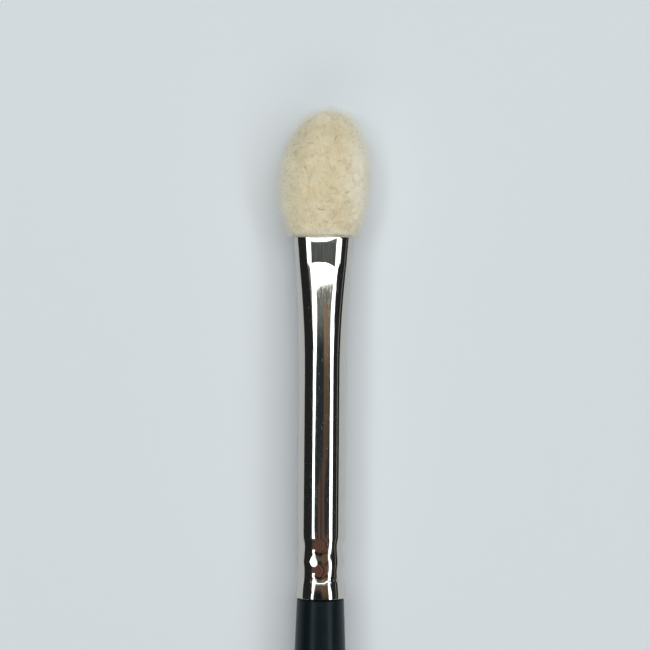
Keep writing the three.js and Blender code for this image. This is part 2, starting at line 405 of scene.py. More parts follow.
roomLook = {
    "world": (0.024, 0.025, 0.026, 1),
    "height": 2.03,  # of the ceiling between the lamps
    "across": (-1.0, 0.78),
    "along": (-1.3, 0.26),
    "dark": (0.027, 0.037, 0.042, 1),
    "grey": (0.235, 0.252, 0.246, 1),
    "brown": (0.40, 0.28, 0.18, 1),
    "umber": (0.11, 0.083, 0.055, 1),
    "red": (0.20, 0.112, 0.088, 1),
    # pattern of the ceiling, in the same slopes as the lamps
    "greyFrom": (0.02, 0.16),
    "streakPlace": 0.38,
    "streakSlant": 0.9,
    "streakShift": 0.5,  # to the left, where it turns red
    "streakWidth": (0.25, 0.5),  # half of it overhead, and its growth backwards
    "streakEdge": (1.25, 0.75),
    "streakEnd": (0.175, 0.145),
    "umberFrom": (0.09, -0.08),
    "redFrom": (-0.062, -0.09),
    "redShare": 0.65,  # until the swirls take the whole width
    "wholeFrom": (-0.09, -0.2),
    "swirl": {"Scale": 1.9, "Distortion": 7.0, "Detail": 2.0, "Detail Scale": 1.2},
    "swirlRange": (0.15, 0.6, 0.25),
    "boards": {"Scale": 2.6, "Distortion": 2.0, "Detail": 2.0, "Detail Scale": 1.5},
    "boardRange": (0.35, 0.75),
    "boardShare": 0.6,
    # pale rail along the right wall, a glowing strip of painted light that the tube mirrors
    "glowingRail": (0.5, 0.52, 0.52, 1),
    "railHeights": (0.40, 0.46),
    "railReach": 2,
    "wall": 1.9,
}


def floorFinish(g):
    f = floorLook
    cloud = g.grain(f["cloudScale"], detail=3)
    return g.add("ShaderNodeBsdfPrincipled", {}, {
        "Base Color": g.blend(cloud, f["color"], f["dull"]), "Roughness": f["roughness"]})


def addFloor():
    sides = floorLook["sides"]
    turns = [i / sides * 2 * math.pi for i in range(sides)]
    rings = []
    for radius in floorLook["radii"]:
        rings.append([Vector((radius * math.cos(t), radius * math.sin(t), 0)) for t in turns])
    points = [Vector((0, 0, 0))] + [p for ring in rings for p in ring]
    faces = []
    for i in range(sides):
        k = (i + 1) % sides
        faces.append((0, 1 + i, 1 + k))
        for j in range(len(rings) - 1):
            here = 1 + j * sides
            there = here + sides
            faces.append((here + i, there + i, there + k, here + k))
    mesh = bpy.data.meshes.new("floor")
    mesh.from_pydata(points, [], faces)
    mesh.shade_smooth()
    newPiece("floor", mesh, newFinish("paleFloor", floorFinish))


def overhead(place, height):
    across, along = place
    lens = camera.location
    return Vector((lens.x + across * height, lens.y + along * height, axisZ + height))


def addLamp(name):
    lamp = lampLook[name]
    start = overhead(lamp["from"], lampHeight)
    run = overhead(lamp["to"], lampHeight) - start
    data = bpy.data.lights.new(name, "AREA")
    data.shape = "RECTANGLE"
    data.size = lamp["width"] * lampHeight
    data.size_y = run.length
    data.color = lamp["color"]
    data.energy = lamp["radiance"] * math.pi * data.size * data.size_y
    holder = bpy.data.objects.new(name, data)
    bpy.context.scene.collection.objects.link(holder)
    holder.location = start + run / 2
    holder.rotation_euler = (0, 0, math.atan2(-run.x, run.y))


def glow(g, color):
    return g.add("ShaderNodeEmission", {}, {"Color": color, "Strength": 1.0})


# beams and boards overhead, as a glowing surface of painted light that the tube mirrors: a brown streak
# that turns red and swirls behind the tool, grey before it
def glowingCeilingFinish(g):
    r = roomLook
    high = r["height"]
    slopes = g.add("ShaderNodeMapping", {}, {
        "Vector": g.add("ShaderNodeTexCoord", out="Object"), "Scale": (1 / high, 1 / high, 1),
        "Location": (-camera.location.x / high, -camera.location.y / high, 0)})
    across = g.add("ShaderNodeSeparateXYZ", {}, {0: slopes}, out="X")
    along = across.out("Y")
    plain = g.blend(g.ease(along, *r["greyFrom"]), r["dark"], r["grey"])

    boards = g.add("ShaderNodeTexWave", {"bands_direction": "X"}, {
        "Vector": slopes, **r["boards"]}, out="Fac")
    brown = g.blend(g.ease(along, *r["umberFrom"]), r["brown"], r["umber"])
    brown = g.blend(r["boardShare"] * g.ramp(boards, *r["boardRange"]), brown, r["umber"])

    swirl = g.add("ShaderNodeTexWave", {"bands_direction": "DIAGONAL"}, {
        "Vector": slopes, **r["swirl"]}, out="Fac")
    turnsRed = g.ease(along, *r["redFrom"])
    whole = g.ease(along, *r["wholeFrom"])
    strength = r["redShare"] + (1 - r["redShare"]) * whole
    red = g.blend(g.ramp(swirl, *r["swirlRange"]) * strength, r["dark"], r["red"])

    halfWidth, growth = r["streakWidth"]
    aside = across - r["streakPlace"] + r["streakSlant"] * along + r["streakShift"] * turnsRed
    aside = aside / (halfWidth - growth * along)
    streak = g.ease(aside * aside, *r["streakEdge"]) * g.ease(along, *r["streakEnd"])
    return glow(g, g.blend(streak + whole, plain, g.blend(turnsRed, brown, red)))


def addCeiling():
    (left, right), (back, front) = roomLook["across"], roomLook["along"]
    corners = [(left, back), (left, front), (right, front), (right, back)]
    mesh = bpy.data.meshes.new("ceiling")
    mesh.from_pydata([overhead(c, roomLook["height"]) for c in corners], [], [(0, 1, 2, 3)])
    newPiece("ceiling", mesh, newFinish("ceiling", glowingCeilingFinish))


def addRail():
    r = roomLook
    low, high = r["railHeights"]
    reach = r["railReach"]
    corners = ((-reach, low), (reach, low), (reach, high), (-reach, high))
    mesh = bpy.data.meshes.new("glowingRail")
    mesh.from_pydata([(r["wall"], camera.location.y + y, z) for y, z in corners], [], [(0, 1, 2, 3)])
    newPiece("glowingRail", mesh, newFinish("glowingRail", lambda g: glow(g, r["glowingRail"])))


def addWorld():
    world = bpy.data.worlds.new("room")
    bpy.context.scene.world = world
    world.use_nodes = True
    world.node_tree.nodes.clear()
    g = Graph(world.node_tree)
    g.add("ShaderNodeOutputWorld", {}, {
        "Surface": g.add("ShaderNodeBackground", {}, {"Color": roomLook["world"], "Strength": 1.0})})


addFloor()
addWorld()
for name in lampLook:
    addLamp(name)
addCeiling()
addRail()
bpy.context.scene.view_settings.view_transform = "Standard"
print("floor and lamps set")

# ferrule: bright nickel over drawn brass
nickelLook = {
    "color": (0.62, 0.60, 0.55, 1),
    "worn": (0.56, 0.54, 0.50, 1),
    "roughness": 0.04,
    "drawnScale": (5200, 110, 5200),
    "drawnRange": (0.45, 0.75),
    "drawnRoughness": 0.07,
    "scuffScale": (1500, 700, 1500),
    "scuffDepth": 0.9e-6,
    "brushScale": (15000, 450, 15000),  # marks of the press on the land
    "brushDepth": 2.5e-6,
    "brushBands": (2600, 160, 2600),  # broad and fine streaks of their colour
    "brushRange": (0.36, 0.62),
    "brushShare": 0.75,
    "brushDark": (0.30, 0.30, 0.295, 1),
    "brushPlace": (35.9, 36.5, 38.45, 38.75),  # along the tool: start, full, fade, end
    "brushReach": (1.2, 1.6),  # across it: full, end
    "creaseScale": (5200, 350, 5200),  # wrinkles along the rolled crease
    "creaseDepth": 2.2e-5,
    "creasePlace": (1.75, 1.95, 2.1, 2.5),
    "tarnishAndShade": (0.62, 0.51, 0.43, 1),  # on top of the crimps: tarnish, and painted shade that dims what they mirror
    "tarnishShadePlace": (7.4, 5.6),
    "tarnishShadeReach": (0.75, 1.05),
    "tarnishShadeRubbed": (1.87, 0.2, 0.4),  # off along the crease: its place, and full and end beside it
    "deepTarnishAndShade": (0.34, 0.28, 0.24, 1),  # darker tarnish and painted shade on the skirt and the bead's front slope, dimming what they mirror
    "deepTarnishShadeSkirt": (2.5, 2.35),
    "deepTarnishShadeBead": (3.9, 4.1, 4.95, 5.15),
    "scratchScale": (24000, 900, 24000),  # fine scratches from use, in two directions
    "scratchRange": (0.67, 0.77),
    "scratchTurns": (0.12, -0.2),
    "scratchRoughness": 0.2,
}


def nickelFinish(g):
    n = nickelLook
    x, y = g.toolPlace()
    onLand = g.window(y, *n["brushPlace"]) * g.near(x, *n["brushReach"])
    onCrease = g.window(y, *n["creasePlace"])
    rubbedPlace, rubbedFull, rubbedEnd = n["tarnishShadeRubbed"]
    # painted shade with tarnish over the middle of the crimps' top, dimming what they mirror; kept off
    # along the crease
    onCrimpTarnishShade = g.ease(y, *n["tarnishShadePlace"]) * g.near(x, *n["tarnishShadeReach"])
    onCrimpTarnishShade = onCrimpTarnishShade * (1 - g.near(y - rubbedPlace, rubbedFull, rubbedEnd))
    onDeepTarnishShade = g.ease(y, *n["deepTarnishShadeSkirt"]) + g.window(y, *n["deepTarnishShadeBead"])

    scuff = g.grain(n["scuffScale"], detail=4, roughness=0.6)
    tarnishAndShade = g.blend(onDeepTarnishShade, n["tarnishAndShade"], n["deepTarnishAndShade"])
    color = g.blend(onCrimpTarnishShade, g.blend(scuff, n["color"], n["worn"]), tarnishAndShade)
    bands = g.ramp(g.grain(n["brushBands"], detail=4, roughness=0.7), *n["brushRange"])
    color = g.blend(n["brushShare"] * bands * onLand, color, n["brushDark"])

    relief = n["scuffDepth"] * scuff
    relief += n["brushDepth"] * g.grain(n["brushScale"], detail=2, roughness=0.6) * onLand
    relief += n["creaseDepth"] * g.grain(n["creaseScale"], detail=1) * onCrease

    drawn = g.ramp(g.grain(n["drawnScale"], detail=3), *n["drawnRange"])
    roughness = n["roughness"] + n["drawnRoughness"] * drawn
    for turn in n["scratchTurns"]:
        scratch = g.ramp(g.grain(n["scratchScale"], detail=1, turn=turn), *n["scratchRange"])
        roughness += n["scratchRoughness"] * scratch * (1 - onLand)
    return g.add("ShaderNodeBsdfPrincipled", {}, {
        "Base Color": color, "Metallic": 1.0, "Roughness": roughness, "Normal": g.bump(relief, 1.0)})


def addFerrule():
    f = ferruleForm
    edge = f["edgeRounding"]
    crimpEnd = f["stations"][-1][0]
    lipEnd = mouthY - edge

    def places(ends, steps):
        along = [edge]
        for end, count in zip(ends, steps):
            along += spaced(along[-1], end, count)[1:]
        return along

    def endRings(end, outward):  # over the tube's cut end, from outside to inside
        corner = [(end - outward * edge * (1 - math.sin(t)), edge * (1 - math.cos(t)))
                  for t in spaced(0, math.pi / 2, f["edgeSteps"])[1:]]
        return ([ferruleRing(y, inset) for y, inset in corner]
                + [ferruleRing(y, f["wall"] - inset) for y, inset in reversed(corner)])

    outer = places((crimpEnd, roundEnd, *f["pressRings"], lipEnd), f["outerSteps"])
    inner = places((crimpEnd, roundEnd, lipEnd), f["innerSteps"])
    rings = [ferruleRing(y) for y in outer] + endRings(mouthY, 1)
    rings += [ferruleRing(y, f["wall"]) for y in reversed(inner)] + endRings(0, -1)[::-1]
    mesh = skinned("ferrule_tube", rings)
    piece = newPiece("ferrule_tube", mesh, newFinish("brightNickel", nickelFinish))
    piece.data.set_sharp_from_angle(angle=f["sharpAngle"])
    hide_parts("ferrule")
    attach(piece, "root")
    return piece


ferrule = addFerrule()
print("ferrule", len(ferrule.data.polygons), "faces")

# handle: turned hardwood under matt black lacquer
handleForm = {
    "Length": 115.0,
    "Shoulder diameter": 5.12,
    "Shoulder taper": 0.039,
    "Shoulder sweep": 13.0,
    "Chamfer": 0.12,
    "Belly diameter": 6.56,
    "Belly place": 38.0,
    "Belly sweep": 26.0,
    "Tail diameter": 3.4,
    "Tail taper": 0.018,
    "Tail sweep": 32.0,
    "Tail rounding": 1.7,
    "Tail flat": 1.6,
    "Tenon diameter": 4.1,
    "Tenon length": 13.0,
    "Tenon chamfer": 0.8,
}
handleBuild = {
    "gap": 0.1,  # between the shoulder and the ferrule
    "sides": 128,
    "curveSteps": 60,
    "tailSteps": 15,
    "tailFullness": (0.72, 0.62),  # of the tail's rounding: across, along
    "chamferLength": 0.9,  # to its depth
    "mergeDistance": 0.0005,
    "sharpAngle": math.radians(32),
}
lacquerLook = {
    "color": (0.0030, 0.0085, 0.0115, 1),
    "dusty": (0.006, 0.013, 0.0165, 1),
    "dustScale": (1500, 900, 1500),
    "dustRange": (0.52, 0.8),
    "dustRoughness": 0.12,
    "roughness": 0.31,
    "shine": 0.17,
    "peelScale": (2600, 2600, 2600),
    "peelDepth": 1.5e-6,
}


def lacquerFinish(g):
    k = lacquerLook
    dust = g.ramp(g.grain(k["dustScale"], detail=5, roughness=0.65), *k["dustRange"])
    return g.add("ShaderNodeBsdfPrincipled", {}, {
        "Base Color": g.blend(dust, k["color"], k["dusty"]),
        "Roughness": k["roughness"] + k["dustRoughness"] * dust,
        "Specular IOR Level": k["shine"],
        "Normal": g.bump(g.grain(k["peelScale"]), k["peelDepth"]),
    })


# The profile is drawn as a curve, radius against place, and its points then carry the radius of a sweep.
def handleTree(material):
    b = handleBuild
    tree = newTree("turnedHandle", dict.fromkeys(handleForm, float))
    g = Graph(tree)
    entry = g.add("NodeGroupInput")
    size = {label: entry.out(label) for label in handleForm}
    shoulder = size["Shoulder diameter"] / 2
    belly = size["Belly diameter"] / 2
    tail = size["Tail diameter"] / 2
    flat = size["Tail flat"] / 2
    tenon = size["Tenon diameter"] / 2
    chamfer = size["Chamfer"]
    rounding = size["Tail rounding"]
    tailSweep = size["Tail sweep"]
    shoulderSweep = size["Shoulder sweep"]
    tenonEnd = size["Tenon length"]
    tenonChamfer = size["Tenon chamfer"]
    tailPlace = -b["gap"] - size["Length"]
    tailEdge = tailPlace + rounding
    bellyPlace = -b["gap"] - size["Belly place"]
    chamferEdge = -b["gap"] - chamfer

    def spot(radius, place):
        return g.add("ShaderNodeCombineXYZ", {}, {"X": radius, "Y": place})

    def stretch(start, startHandle, endHandle, end, steps):
        curve = g.add("GeometryNodeCurvePrimitiveBezierSegment", {"mode": "POSITION"}, {
            "Resolution": steps, "Start": start, "Start Handle": startHandle,
            "End Handle": endHandle, "End": end})
        return g.add("GeometryNodeCurveToPoints", {"mode": "EVALUATED"}, {"Curve": curve})

    def corner(start, end):
        curve = g.add("GeometryNodeCurvePrimitiveLine", {}, {"Start": start, "End": end})
        return g.add("GeometryNodeCurveToPoints", {"mode": "EVALUATED"}, {"Curve": curve})

    fullAcross, fullAlong = b["tailFullness"]
    runs = [
        stretch(spot(flat, tailPlace), spot(tail * fullAcross + flat * (1 - fullAcross), tailPlace),
                spot(tail, tailEdge - rounding * fullAlong), spot(tail, tailEdge), b["tailSteps"]),
        stretch(spot(tail, tailEdge), spot(tail + size["Tail taper"] * tailSweep, tailEdge + tailSweep),
                spot(belly, bellyPlace - size["Belly sweep"]), spot(belly, bellyPlace), b["curveSteps"]),
        stretch(spot(belly, bellyPlace), spot(belly, bellyPlace + shoulderSweep),
                spot(shoulder + size["Shoulder taper"] * shoulderSweep, chamferEdge - shoulderSweep),
                spot(shoulder, chamferEdge), b["curveSteps"]),
        corner(spot(shoulder - chamfer, chamferEdge + chamfer * b["chamferLength"]),
               spot(tenon, chamferEdge + chamfer)),
        corner(spot(tenon, tenonEnd - tenonChamfer), spot(tenon - tenonChamfer, tenonEnd)),
    ]
    joined = g.add("GeometryNodeJoinGeometry")
    for run in runs:
        tree.links.new(run.socket, joined.socket.node.inputs[0])
    merged = g.add("GeometryNodeMergeByDistance", {}, {"Geometry": joined, "Distance": b["mergeDistance"]})
    height = g.add("ShaderNodeSeparateXYZ", {}, {0: g.add("GeometryNodeInputPosition")}, out="Y")
    profile = g.add("GeometryNodePointsToCurves", {}, {"Points": merged, "Weight": height})
    reach = g.add("ShaderNodeSeparateXYZ", {}, {0: g.add("GeometryNodeInputPosition")}, out="X")
    sized = g.add("GeometryNodeSetCurveRadius", {}, {"Curve": profile, "Radius": reach})
    onAxis = g.add("GeometryNodeSetPosition", {}, {
        "Geometry": sized, "Position": g.add("ShaderNodeCombineXYZ", {}, {"Y": height})})
    circle = g.add("GeometryNodeCurvePrimitiveCircle", {}, {"Resolution": b["sides"], "Radius": 1.0})
    swept = g.add("GeometryNodeCurveToMesh", {}, {
        "Curve": onAxis, "Profile Curve": circle, "Fill Caps": True,
        "Scale": g.add("GeometryNodeInputRadius")})
    placed = g.add("GeometryNodeTransform", {}, {
        "Geometry": swept, "Translation": inFrame(0, 0, 0), "Scale": (mm, mm, mm)})
    real = g.add("GeometryNodeRealizeInstances", {}, {"Geometry": placed})
    dressed = g.add("GeometryNodeSetMaterial", {}, {"Geometry": real, "Material": material})
    g.add("NodeGroupOutput", {}, {"Geometry": dressed})
    return tree


def addHandle():
    tree = handleTree(newFinish("blackLacquer", lacquerFinish))
    piece = pieceFromTree("turned_handle", tree, handleForm, bpy.data.meshes.new("handleStart"))
    piece.data.shade_smooth()
    piece.data.set_sharp_from_angle(angle=handleBuild["sharpAngle"])
    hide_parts("handle")
    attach(piece, "root")
    return piece


handle = addHandle()
print("handle", len(handle.data.polygons), "faces")

# sponge tip: foam core in a fleece cover
tipForm = {
    "length": 14.0,
    "width": 9.5,
    "thickness": 6.6,
    "widest": 6.2,  # ahead of the mouth
    "flat": 2.4,
    "overhang": 0.42,
    "footRounding": (1.1, 0.48),  # along, and in from the side
    "innerRounding": (0.4, 0.3),
    "lean": 0.68,
    "leanPower": 2.5,
    "seatGap": 0.22,
    "pileDepth": 0.38,  # skin under the pile lies this far in from the outline
    "coverThickness": 0.9,
    "boreGap": 0.1,  # from the tube's wall to the hem that is tucked into it
    "hemThickness": 0.35,
    "hemLength": 2.4,
    "coreGap": 0.1,  # from the cover to the foam
    "neckLength": 6.5,  # of the foam in the tube
    "neckSteps": 10,
    "innerSteps": 8,
    "outerSteps": 14,
    "ringPoints": 120,
    "lumpHeight": 0.14,
    "lumpPitch": 1.7,
    "smallLumps": (0.45, 2.7),  # share of the height, and how many to a large one
    "smallShift": (7, 3, 5),  # sets them apart from the large ones
    "lumpForward": 0.4,
    "tableGap": 0.06,
}
# pale rim painted over the tip's edges and foot: painted light where the thin fuzz lets light through,
# reaching further on the right, where more light falls
paintedTipRim = {
    "centre": (-0.3, 5.5),  # across the tip, and ahead of the mouth
    "bow": 0.015,  # of that centre to the right, towards the ends
    "spread": (1.1, 1.0),  # of the rim's reach: across, and ahead
    "start": 0.5,  # share of that reach where the edge turns pale
    "foot": (1.1, 0.2),  # ahead of the mouth, where its foot does
    "footShare": 0.6,
    "color": (0.90, 0.89, 0.815, 1),
}
fleeceLook = {
    "cream": (0.76, 0.70, 0.54, 1),
    "shade": (0.70, 0.61, 0.42, 1),
    "ochre": (0.58, 0.38, 0.16, 1),
    "mottleScale": (620, 620, 620),
    "mottleRange": (0.35, 0.7),
    "fleckScale": (1500, 1500, 1500),
    "fleckRange": (0.62, 0.75),
    "fleckShare": 0.7,
    "paintedRimShare": 0.8,
    "roughness": 0.95,
    "shine": 0.15,
    "tuftScale": (6500, 6500, 6500),
    "tuftDepth": 4e-5,
}
foamLook = {
    "color": (0.80, 0.72, 0.52, 1),
    "poreShade": (0.60, 0.50, 0.32, 1),
    "roughness": 0.9,
    "cellScale": 3200,
    "cellDepth": 6e-5,
}


# painted rim light: how far the tip pales towards its edges and its foot
def paintedRimOf(g):  # 0 over the middle of the tip to 1 at its edge, from above
    centreX, centreY = paintedTipRim["centre"]
    spreadX, spreadY = paintedTipRim["spread"]
    x, y = g.toolPlace()
    ahead = y - mouthY
    forth = (ahead - centreY) * (ahead - centreY)
    aside = (x - centreX - paintedTipRim["bow"] * forth) * (spreadX * 2 / tipForm["width"])
    forth = forth * (spreadY / (tipForm["length"] - centreY) ** 2)
    rim = g.ease(aside * aside + forth * forth, paintedTipRim["start"] ** 2, 1.0)
    return rim + paintedTipRim["footShare"] * g.ease(ahead, *paintedTipRim["foot"]) * (1 - rim)


def leanAt(y):
    return tipForm["lean"] * ((y - mouthY) / tipForm["length"]) ** tipForm["leanPower"]


def ovalRing(y, section, inset=0.0, shift=0.0):
    halfWidth, halfThickness, halfFlat = section
    count = tipForm["ringPoints"]
    ring = []
    for i in range(count):
        turn = (i + 0.5) / count * 2 * math.pi
        flat = math.copysign(halfFlat, math.cos(turn))
        x = flat + math.cos(turn) * (halfWidth - inset - halfFlat) + shift
        ring.append(inFrame(x, y, math.sin(turn) * (halfThickness - inset)))
    return ring


def tipRings(inset, rounding, steps):
    t = tipForm
    roundingY, roundingX = rounding
    widest = mouthY + t["widest"]
    foot = mouthY + t["seatGap"] + inset - t["pileDepth"]
    end = mouthY + t["length"] - inset
    wideX = t["width"] / 2 - inset
    wideZ = t["thickness"] / 2 - inset
    narrowX = ferruleForm["mouthWidth"] / 2 + t["overhang"] - inset
    narrowZ = ferruleForm["mouthThickness"] / 2 + t["overhang"] - inset
    halfFlat = t["flat"] / 2

    def flank(y, tuck):
        way = ((widest - y) / (widest - foot)) ** 2
        section = (lerp(wideX, narrowX, way), lerp(wideZ, narrowZ, way), halfFlat)
        return ovalRing(y, section, tuck, leanAt(y))

    def crown(turn):
        y = lerp(widest, end, math.sin(turn))
        shrink = math.cos(turn)
        return ovalRing(y, (wideX * shrink, wideZ * shrink, halfFlat * shrink), shift=leanAt(y))

    rings = []
    for turn in spaced(0, math.pi / 2, steps):
        rings.append(flank(foot + roundingY * (1 - math.cos(turn)), roundingX * (1 - math.sin(turn))))
    rings += [flank(y, 0) for y in spaced(foot + roundingY, widest, 2 * steps)[1:-1]]
    rings += [crown(turn) for turn in spaced(0, math.pi / 2, 5 * steps)[:-1]]
    return rings, inFrame(leanAt(end), end, 0)


def lumpy(point):
    t = tipForm
    share, number = t["smallLumps"]
    seat = point / mm / t["lumpPitch"]
    lump = noise.noise(seat) + share * noise.noise(seat * number + Vector(t["smallShift"]))
    outward = point - inFrame(0, mouthY + t["widest"], 0)
    outward.y *= t["lumpForward"]
    moved = point + outward.normalized() * lump * t["lumpHeight"] * mm
    moved.z = max(moved.z, t["tableGap"] * mm)
    return moved


def fleeceFinish(g):
    k = fleeceLook
    mottle = g.ramp(g.grain(k["mottleScale"], detail=3), *k["mottleRange"])
    fleck = g.ramp(g.grain(k["fleckScale"]), *k["fleckRange"])
    tuft = g.grain(k["tuftScale"], detail=4, roughness=0.7)
    color = g.blend(k["fleckShare"] * fleck, g.blend(mottle, k["cream"], k["shade"]), k["ochre"])
    # painted rim light over the cover's edges and foot
    color = g.blend(k["paintedRimShare"] * paintedRimOf(g), color, paintedTipRim["color"])
    return g.add("ShaderNodeBsdfPrincipled", {}, {
        "Base Color": color, "Roughness": k["roughness"], "Specular IOR Level": k["shine"],
        "Normal": g.bump(tuft, k["tuftDepth"])})


def foamFinish(g):
    k = foamLook
    place = g.add("ShaderNodeTexCoord", out="Object")
    # pores darker than the cell walls: painted shade in the hollows
    cells = g.add("ShaderNodeTexVoronoi", {"feature": "SMOOTH_F1"}, {
        "Vector": place, "Scale": k["cellScale"]})
    return g.add("ShaderNodeBsdfPrincipled", {}, {
        "Base Color": g.blend(cells, k["poreShade"], k["color"]), "Roughness": k["roughness"],
        "Normal": g.bump(cells, k["cellDepth"])})


def addTip():
    t = tipForm
    bore = ferruleForm["wall"] + t["boreGap"]
    hem = bore + t["hemThickness"]
    hemStart = mouthY - t["hemLength"]
    neckStart = mouthY - t["neckLength"]
    hollowStart = mouthY + t["seatGap"] + t["coverThickness"] - t["pileDepth"]

    def mouthRing(y, inset):
        return ovalRing(y, ferruleSection(min(y, mouthY - ferruleForm["lipLength"])), inset)

    inner, innerEnd = tipRings(t["coverThickness"], t["innerRounding"], t["innerSteps"])
    outer, outerEnd = tipRings(t["pileDepth"], t["footRounding"], t["outerSteps"])
    outer = [[lumpy(p) for p in ring] for ring in outer]
    tuck = [mouthRing(y, hem) for y in (hollowStart, mouthY, hemStart)]
    tuck += [mouthRing(y, bore) for y in (hemStart, mouthY, mouthY + t["seatGap"])]
    mesh = skinned("fleece_cover", inner[::-1] + tuck + outer, [innerEnd, outerEnd])
    cover = newPiece("fleece_cover", mesh, newFinish("creamFleece", fleeceFinish))
    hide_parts("pile_cover")
    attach(cover, "root")

    coreRings, coreEnd = tipRings(t["coverThickness"] + t["coreGap"], t["innerRounding"], t["innerSteps"])
    neckPlaces = [*spaced(neckStart, mouthY, t["neckSteps"]), hollowStart + t["coreGap"]]
    neck = [mouthRing(y, hem + t["coreGap"]) for y in neckPlaces]
    mesh = skinned("foam_core", neck + coreRings, [inFrame(0, neckStart, 0), coreEnd])
    core = newPiece("foam_core", mesh, newFinish("spongeFoam", foamFinish))
    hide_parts("sponge_core")
    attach(core, "root")
    return skinned("pileSeat", outer, [None, outerEnd])


pileSeat = addTip()
print("fleece cover and foam core")

# pile: fibres scattered over the cover, in layers that each have their own length and lay
pileLayers = {
    "pile_under": {"Density": 3.0e7, "Seed": 3, "Length": 0.34 * mm, "Thickness": 0.02 * mm,
                   "Stand": 1.0, "Lay": 1.45, "Curl": 0.05 * mm, "Lift": 0.01 * mm},
    "pile_top": {"Density": 3.0e7, "Seed": 17, "Length": 0.45 * mm, "Thickness": 0.016 * mm,
                 "Stand": 0.5, "Lay": 1.3, "Curl": 0.1 * mm, "Lift": 0.0},
    "pile_outer": {"Density": 3.3e7, "Seed": 53, "Length": 0.62 * mm, "Thickness": 0.013 * mm,
                   "Stand": 0.1, "Lay": 1.0, "Curl": 0.12 * mm, "Lift": 0.0},
    "pile_veil": {"Density": 2.2e7, "Seed": 71, "Length": 0.76 * mm, "Thickness": 0.0125 * mm,
                  "Stand": 0.05, "Lay": 0.9, "Curl": 0.16 * mm, "Lift": 0.0},
    "pile_fuzz": {"Density": 3.3e7, "Seed": 41, "Length": 0.9 * mm, "Thickness": 0.012 * mm,
                  "Stand": 0.0, "Lay": 0.8, "Curl": 0.2 * mm, "Lift": 0.0},
    "pile_wisps": {"Density": 2.6e7, "Seed": 67, "Length": 1.2 * mm, "Thickness": 0.01 * mm,
                   "Stand": 0.0, "Lay": 0.8, "Curl": 0.3 * mm, "Lift": 0.0},
    "pile_hairs": {"Density": 2.4e5, "Seed": 8, "Length": 0.66 * mm, "Thickness": 0.055 * mm,
                   "Stand": 1.35, "Lay": 1.65, "Curl": 0.1 * mm, "Lift": 1.0 * mm},
}
fibreLook = {
    "pile": {"root": (0.73, 0.69, 0.51, 1), "tip": (0.805, 0.79, 0.64, 1),
             "tinted": (0.73, 0.62, 0.385, 1), "paintedRimShare": 0.7,
             "speck": (0.32, 0.26, 0.13, 1), "speckShare": 0.7,
             "fleck": (0.45, 0.20, 0.05, 1), "fleckShare": 0.9,
             "glow": (0.82, 0.83, 0.76, 1), "clear": 0.45},
    "hair": {"root": (0.10, 0.07, 0.045, 1), "tip": (0.16, 0.12, 0.08, 1),
             "tinted": (0.30, 0.18, 0.08, 1), "paintedRimShare": 0.0,
             "speck": (0.10, 0.07, 0.045, 1), "speckShare": 0.0,
             "fleck": (0.30, 0.18, 0.08, 1), "fleckShare": 0.0,
             "glow": (0.16, 0.12, 0.08, 1), "clear": 0.0},
}
fibreBuild = {
    "segments": 2,
    "sides": 3,
    "tip": 0.3,  # share of the thickness that is left there
    "bend": ((0.0, 0.0, 0.55), (0.28, 0.0, 0.92)),  # middle and end of a fibre of unit length
    "sizes": (0.6, 1.25),
    "tuftPitch": 800.0,
    "tuftSizes": (0.45, 1.1),  # least, and what the tufts add
    "curlPitch": 3000.0,
    "curlGain": 3,
    "mouthGap": 0.05 * mm,
    "tableGap": 0.02 * mm,
    "patchScale": (560, 560, 560),
    "patchShare": 0.55,  # of warm colour in patches, the rest fibre by fibre
    "patchRange": (0.5, 0.68),
    "tintShare": 0.5,
    "speckScale": (5200, 5200, 300),
    "speckRange": (0.55, 0.63),
    "fleckScale": (2100, 2100, 700),
    "fleckRange": (0.66, 0.71),
    "rimFade": 0.6,  # of specks and flecks at the rim
    "rimSolid": 0.8,  # of the light through the fibres that the rim stops
    "roughness": 0.8,
    "shine": 0.2,
    "bakeColumns": 120,  # of cells in the fibres' map, a cell to each
    "bakeMargin": 0.1,  # of a cell
}


def fibreFinish(look):
    def build(g):
        b = fibreBuild
        along = g.add("ShaderNodeAttribute", {"attribute_name": "along"}, out="Fac")
        tint = g.add("ShaderNodeAttribute", {"attribute_name": "fibreTint"}, out="Fac")
        patches = b["patchShare"] * g.grain(b["patchScale"], detail=3) + (1 - b["patchShare"]) * tint
        warm = g.ramp(patches, *b["patchRange"])
        speck = g.ramp(g.grain(b["speckScale"]), *b["speckRange"])
        fleck = g.ramp(g.grain(b["fleckScale"]), *b["fleckRange"])
        rim = paintedRimOf(g)
        inside = 1 - b["rimFade"] * rim
        color = g.blend(along, look["root"], look["tip"])
        color = g.blend(b["tintShare"] * warm, color, look["tinted"])
        # painted rim light on the fibres; the specks and flecks fade there
        color = g.blend(look["paintedRimShare"] * rim, color, paintedTipRim["color"])
        color = g.blend(look["speckShare"] * speck * inside, color, look["speck"])
        color = g.blend(look["fleckShare"] * fleck * inside, color, look["fleck"])
        solid = g.add("ShaderNodeBsdfPrincipled", {}, {
            "Base Color": color, "Roughness": b["roughness"], "Specular IOR Level": b["shine"]})
        clear = g.add("ShaderNodeBsdfTranslucent", {}, {"Color": look["glow"]})
        share = look["clear"] - b["rimSolid"] * look["clear"] * rim
        return g.add("ShaderNodeMixShader", {}, {0: share, 1: solid, 2: clear})
    return build


